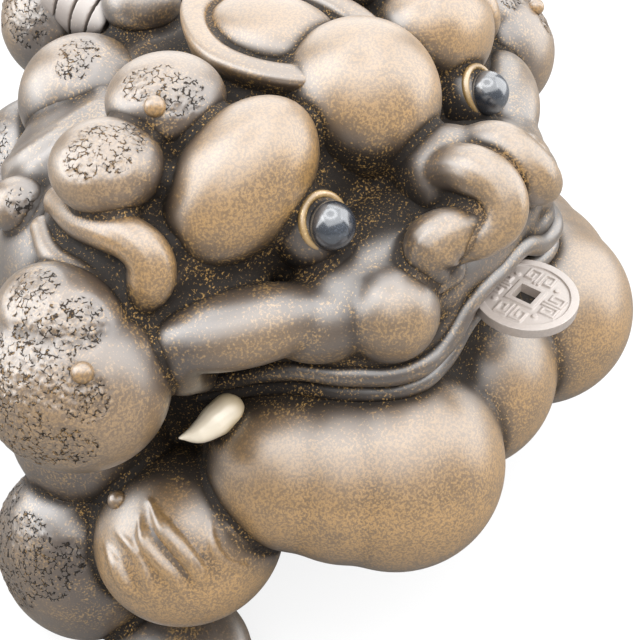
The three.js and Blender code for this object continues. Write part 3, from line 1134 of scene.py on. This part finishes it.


# Painted shade: near black in seams, pits, hollows and cracks, where shade falls
def paintedShadeClay(group, bulge, crack):
    crease = readAttribute(group, (-1400, 500), "crease")
    dent = readAttribute(group, (-1400, 200), "dent")
    seam = mapRange(group, (-900, 650), crease, *clayLook["seam"])
    pit = mapRange(group, (-900, 800), dent, *clayLook["pit"])
    shade = sums(group, (-700, 700), "MAXIMUM", seam, pit)
    hollow = mapRange(group, (-900, 950), bulge, *clayLook["hollow"])
    shade = sums(group, (-500, 700), "MAXIMUM", shade, hollow)
    return sums(group, (-350, 900), "MAXIMUM", shade, crack)


# Pale grains: close together where the clay is worn, and in flecks elsewhere; fewer under painted shade
def grainClay(group, flecks, where, mottle, grain, shade, wornAndShaded):
    speckle = mapRange(group, (-900, -150), mottle, *clayLook["speckle"])
    speckle = sums(group, (-700, -150), "MULTIPLY", speckle, flecks)
    bare = mapRange(group, (-300, 700), shade, *clayLook["bare"])
    speckle = sums(group, (-500, -150), "MULTIPLY", speckle, bare)
    cover = sums(group, (-300, 0), "MAXIMUM", speckle, wornAndShaded)
    lift = mapRange(group, (-100, 0), cover, *clayLook["cover"])
    grains = sums(group, (100, -100), "ADD", grain, lift, clamp=False)
    grains = mapRange(group, (250, -100), grains, *clayLook["edge"])
    dust = addNoise(group, (-1150, -750), where, *clayLook["dust"])
    fine = mapRange(group, (100, -400), dust.outputs["Fac"], *clayLook["fine"])
    return sums(group, (400, -100), "MULTIPLY", grains, fine)


def makeClayGroup():
    group = bpy.data.node_groups.new("firedClay", "ShaderNodeTree")
    for name in ("Dark", "Brown", "Tan", "Gold"):
        group.interface.new_socket(name, in_out="INPUT", socket_type="NodeSocketColor")
    for name in ("Flecks", "Rub"):
        group.interface.new_socket(name, in_out="INPUT", socket_type="NodeSocketFloat")
    group.interface.new_socket("Colour", in_out="OUTPUT", socket_type="NodeSocketColor")
    for name in ("Roughness", "Coat", "Height"):
        group.interface.new_socket(name, in_out="OUTPUT", socket_type="NodeSocketFloat")
    given = addNode(group, "NodeGroupInput", (-1400, 0)).outputs
    result = addNode(group, "NodeGroupOutput", (900, 0)).inputs
    lookup = addNode(group, "ShaderNodeTexCoord", (-1400, -300))
    where = lookup.outputs["Object"]
    facing = addNode(group, "ShaderNodeSeparateXYZ", (-900, 250))
    feed(group, facing.inputs[0], lookup.outputs["Normal"])
    up = facing.outputs["Z"]
    bulge = readAttribute(group, (-1400, 350), "bulge")
    mottle = addNoise(group, (-1150, -250), where, *clayLook["mottle"]).outputs["Fac"]
    grain = addNoise(group, (-1150, -500), where, *clayLook["grain"]).outputs["Fac"]
    wornAndShaded = rubAndShadeClay(group, given["Rub"], up, bulge, mottle)
    crack = crackClay(group, where, mottle)
    shade = paintedShadeClay(group, bulge, crack)
    grains = grainClay(group, given["Flecks"], where, mottle, grain, shade, wornAndShaded)

    ground = sums(group, (-300, 300), "MULTIPLY", wornAndShaded, clayLook["ground"])
    base = mixColours(group, (-100, 300), ground, given["Brown"], given["Tan"])
    # Painted shade: the clay goes towards near black in seams, pits, hollows and cracks
    base = mixColours(group, (100, 300), shade, base, given["Dark"])
    light = mixColours(group, (250, 200), wornAndShaded, given["Gold"], given["Tan"])
    clay = mixColours(group, (450, 300), grains, base, light)
    # Painted shade on tops: worn faces that turn upwards go up to halfway back to brown
    over = mapRange(group, (450, 500), up, *clayLook["over"])
    over = sums(group, (600, 500), "MULTIPLY", over, wornAndShaded)
    clay = mixColours(group, (750, 300), over, clay, given["Brown"])
    matt = mapRange(group, (300, -600), mottle, *clayLook["matt"])
    dull = mapRange(group, (300, -800), shade, *clayLook["dull"])
    height = sums(group, (300, -1000), "MULTIPLY", grain, clayLook["grainHeight"])
    depth = sums(group, (300, -1200), "MULTIPLY", crack, clayLook["crackHeight"])
    feed(group, result["Colour"], clay)
    feed(group, result["Roughness"], sums(group, (500, -600), "ADD", matt, dull))
    feed(group, result["Coat"], mapRange(group, (500, 700), shade, *clayLook["coat"]))
    feed(group, result["Height"], sums(group, (500, -1100), "SUBTRACT", height, depth, clamp=False))
    return group


clayGroup = makeClayGroup()

# Dark is the near black of the painted shade; Brown, Tan and Gold are the clay's own colours
clays = {
    "body_clay": {
        "Dark": (0.012, 0.009, 0.007),
        "Brown": (0.060, 0.037, 0.022),
        "Tan": (0.33, 0.20, 0.085),
        "Gold": (0.34, 0.20, 0.062),
    },
    "tan_clay": {
        "Dark": (0.014, 0.010, 0.007),
        "Brown": (0.055, 0.033, 0.018),
        "Tan": (0.44, 0.245, 0.072),
        "Gold": (0.34, 0.20, 0.060),
    },
    "muzzle_clay": {
        "Dark": (0.012, 0.009, 0.007),
        "Brown": (0.052, 0.034, 0.022),
        "Tan": (0.38, 0.22, 0.075),
        "Gold": (0.34, 0.20, 0.062),
    },
    "dark_clay": {
        "Dark": (0.008, 0.006, 0.005),
        "Brown": (0.045, 0.032, 0.024),
        "Tan": (0.22, 0.145, 0.08),
        "Gold": (0.34, 0.20, 0.062),
    },
    "coin_clay": {
        "Dark": (0.020, 0.015, 0.012),
        "Brown": (0.30, 0.25, 0.22),
        "Tan": (0.38, 0.32, 0.28),
        "Gold": (0.42, 0.33, 0.24),
    },
    "bone_clay": {
        "Dark": (0.46, 0.36, 0.22),
        "Brown": (0.78, 0.68, 0.52),
        "Tan": (0.88, 0.80, 0.65),
        "Gold": (0.70, 0.56, 0.36),
    },
    "eye_glaze": {
        "Dark": (0.006, 0.008, 0.012),
        "Brown": (0.012, 0.018, 0.028),
        "Tan": (0.045, 0.058, 0.082),
        "Gold": (0.06, 0.07, 0.09),
    },
    "gold_line": {
        "Dark": (0.10, 0.06, 0.02),
        "Brown": (0.36, 0.22, 0.07),
        "Tan": (0.66, 0.44, 0.17),
        "Gold": (0.74, 0.52, 0.22),
    },
}
handled = {"flecks": 0.70, "coatRoughness": 0.38, "bump": 0.8}
finishing = {
    "body_clay": {"rub": -0.01, **handled},
    "tan_clay": {"rub": 0.12, **handled},
    "muzzle_clay": {"rub": -0.05, **handled},
    "dark_clay": {"rub": 0.0, **handled},
    "coin_clay": {"rub": 0.0, "flecks": 0.3, "coatRoughness": 0.5, "bump": 0.3},
    "bone_clay": {"rub": 0.1, "flecks": 0.2, "coatRoughness": 0.4, "bump": 0.2},
    "eye_glaze": {"rub": 0.0, "flecks": 0.1, "coatRoughness": 0.2, "bump": 0.2},
    "gold_line": {"rub": 0.0, "flecks": 0.5, "coatRoughness": 0.3, "bump": 0.3},
}
glaze = {"ior": 1.45, "coatIor": 2.6, "bumpHeight": 1.0}


def makeClay(name, colours):
    look = finishing[name]
    material = bpy.data.materials.new(name)
    material.use_nodes = True
    tree = material.node_tree
    shader = tree.nodes["Principled BSDF"]
    clay = addNode(tree, "ShaderNodeGroup", (-500, 200), node_tree=clayGroup)
    for key, colour in colours.items():
        clay.inputs[key].default_value = (*colour, 1)
    clay.inputs["Flecks"].default_value = look["flecks"]
    clay.inputs["Rub"].default_value = look["rub"]
    tree.links.new(clay.outputs["Colour"], shader.inputs["Base Color"])
    tree.links.new(clay.outputs["Roughness"], shader.inputs["Roughness"])
    tree.links.new(clay.outputs["Coat"], shader.inputs["Coat Weight"])
    bump = addNode(tree, "ShaderNodeBump", (-250, -200))
    bump.inputs["Strength"].default_value = look["bump"]
    bump.inputs["Distance"].default_value = glaze["bumpHeight"] * mm
    tree.links.new(clay.outputs["Height"], bump.inputs["Height"])
    tree.links.new(bump.outputs["Normal"], shader.inputs["Normal"])
    shader.inputs["IOR"].default_value = glaze["ior"]
    shader.inputs["Coat IOR"].default_value = glaze["coatIor"]
    shader.inputs["Coat Roughness"].default_value = look["coatRoughness"]
    return material


materials = {name: makeClay(name, colours) for name, colours in clays.items()}
print("finishes mixed")

# The muzzle is less rubbed than the rest of its slot
muzzle = dict.fromkeys(
    ("upper_jaw", "nose", "nostril_bulb_right", "nostril_bulb_left"), "muzzle_clay"
)
for node, piece in pieces.items():
    piece.data.materials.clear()
    piece.data.materials.append(materials[muzzle.get(node, finishes[node])])
    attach(piece, "coin" if node == "mouth_coin" else "toad")
    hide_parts(node)

# Floor, paler to the camera than in the light that it throws back
floor = {
    "size": 6.0,
    "drop": 0.0002,
    "colour": (0.86, 0.86, 0.86, 1),
    "glow": 0.8,
    "bounce": (0.15, 0.15, 0.15, 1),
    "mirrored": (0.18, 0.18, 0.18, 1),
}


def makeFloor():
    bpy.ops.object.select_all(action="DESELECT")
    bpy.ops.mesh.primitive_plane_add(size=floor["size"], location=(0, 0, -floor["drop"]))
    ground = bpy.context.object
    ground.name = "studioFloor"
    material = bpy.data.materials.new("paleFloor")
    material.use_nodes = True
    tree = material.node_tree
    tree.nodes.clear()
    result = addNode(tree, "ShaderNodeOutputMaterial", (600, 0))
    path = addNode(tree, "ShaderNodeLightPath", (-200, 700)).outputs
    glow = addNode(tree, "ShaderNodeEmission", (-200, -200)).outputs[0]
    matt = {}
    for row, name in enumerate(("colour", "bounce", "mirrored")):
        shader = addNode(tree, "ShaderNodeBsdfDiffuse", (-200, 200 * row))
        shader.inputs["Color"].default_value = floor[name]
        matt[name] = shader.outputs[0]
    seen = mixShaders(tree, (100, 0), floor["glow"], matt["colour"], glow)
    unseen = mixShaders(tree, (100, 200), path["Is Glossy Ray"], matt["bounce"], matt["mirrored"])
    mixed = mixShaders(tree, (350, 0), path["Is Camera Ray"], unseen, seen)
    feed(tree, result.inputs["Surface"], mixed)
    ground.data.materials.append(material)


makeFloor()

# Ring of small lamps overhead, in metres and watts
lamps = {"count": 10, "ring": 0.22, "height": 0.62, "size": 0.14, "power": 0.10}


def addLamp(name, place, turn, size, power):
    bpy.ops.object.light_add(type="AREA", location=place, rotation=turn)
    lamp = bpy.context.object
    lamp.name = name
    lamp.data.size = size
    lamp.data.energy = power
    return lamp


for index in range(lamps["count"]):
    angle = 2 * math.pi * index / lamps["count"]
    place = (lamps["ring"] * math.cos(angle), lamps["ring"] * math.sin(angle), lamps["height"])
    ringLamp = addLamp(f"ringLamp{index + 1}", place, (0, 0, 0), lamps["size"], lamps["power"])
    ringLamp.data.shape = "DISK"

# Panels: one without sheen lights only the matt clay, and one without fill lights only the gloss
panels = {
    "softBox": {"place": (0.12, 0.1, 0.8), "size": 1.2, "power": 3.0, "sheen": False, "fill": True},
    "sheenBox": {"place": (-0.05, -0.1, 0.8), "size": 1.3, "power": 8.5, "sheen": True, "fill": False},
    "frontPanel": {"place": (-0.2, -0.6, 0.6), "size": 1.3, "power": 11.5, "sheen": False, "fill": True},
    "leftPanel": {"place": (-0.4, 0.75, 0.2), "size": 0.8, "power": 2.4, "sheen": True, "fill": False},
    "sidePanel": {"place": (-0.5, 0.6, 0.6), "size": 0.9, "power": 7.0, "sheen": True, "fill": True},
    "rightPanel": {"place": (0.6, -0.4, 0.35), "size": 0.8, "power": 4.5, "sheen": True, "fill": True},
    "backPanel": {"place": (0.7, 0.6, 0.45), "size": 1.2, "power": 9.0, "sheen": True, "fill": True},
}
for name, panel in panels.items():
    aim = (-Vector(panel["place"])).to_track_quat("-Z", "Y").to_euler()
    lamp = addLamp(name, panel["place"], aim, panel["size"], panel["power"])
    lamp.visible_glossy = panel["sheen"]
    lamp.visible_diffuse = panel["fill"]

# Soft light all round, white to the camera and dimmer in the gloss
surround = {"light": 0.55, "seen": 1.0, "gloss": 0.22}


def makeRoom():
    world = bpy.data.worlds.new("paleRoom")
    bpy.context.scene.world = world
    world.use_nodes = True
    tree = world.node_tree
    background = tree.nodes["Background"]
    background.inputs["Color"].default_value = (1, 1, 1, 1)
    path = addNode(tree, "ShaderNodeLightPath", (-700, 0)).outputs
    gloss = mapRange(tree, (-450, 0), path["Is Glossy Ray"], 0, 1, surround["light"], surround["gloss"])
    seen = mapRange(tree, (-450, -300), path["Is Camera Ray"], 0, 1, 0, surround["seen"])
    feed(tree, background.inputs["Strength"], sums(tree, (-200, 0), "MAXIMUM", gloss, seen))


makeRoom()
bpy.context.scene.view_settings.view_transform = "Standard"
print("stage lit")
